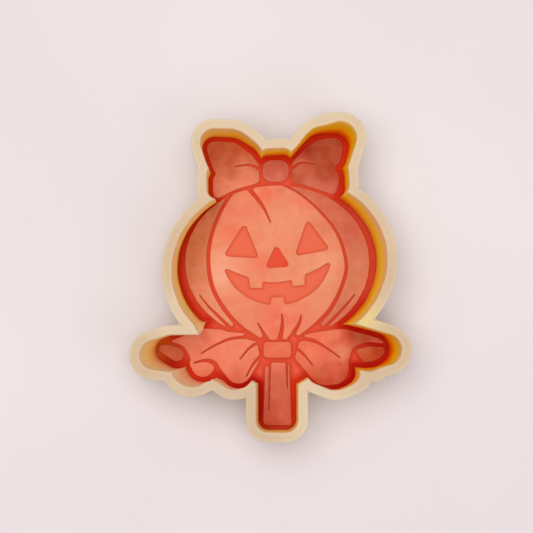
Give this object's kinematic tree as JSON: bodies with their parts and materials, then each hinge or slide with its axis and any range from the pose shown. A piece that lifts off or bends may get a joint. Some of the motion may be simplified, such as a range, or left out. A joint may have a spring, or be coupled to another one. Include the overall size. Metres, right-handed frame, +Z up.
{
  "type": "lollipop mould",
  "caption": "Silicone lollipop mould with one deep cavity shaped as a carved pumpkin under a bow, with a gathered wrapper and a stick channel, and relief pads on its floor.",
  "frame": {"origin": "on the flat underside, below the centre of the pumpkin", "axes": "+Z up out of the open cavity, +Y from the stick towards the bow, +X to the right in the top view"},
  "size_m": [0.1015, 0.1194, 0.022],
  "materials": {
    "body_cream": "satin silicone",
    "floor_red": "satin silicone",
    "relief_coral": "satin silicone"
  },
  "bodies": {
    "root": {"mould_body": "body_cream", "floor_layer": "floor_red", "bow_left_loop": "relief_coral", "bow_knot": "relief_coral", "bow_right_loop": "relief_coral", "pumpkin_left_rib": "relief_coral", "pumpkin_face": "relief_coral", "pumpkin_right_rib": "relief_coral", "wrapper_left_flare": "relief_coral", "wrapper_left_curl": "relief_coral", "ribbon_band": "relief_coral", "wrapper_right_flare": "relief_coral", "wrapper_right_curl": "relief_coral", "stick_strip": "relief_coral"}
  },
  "joints": []
}
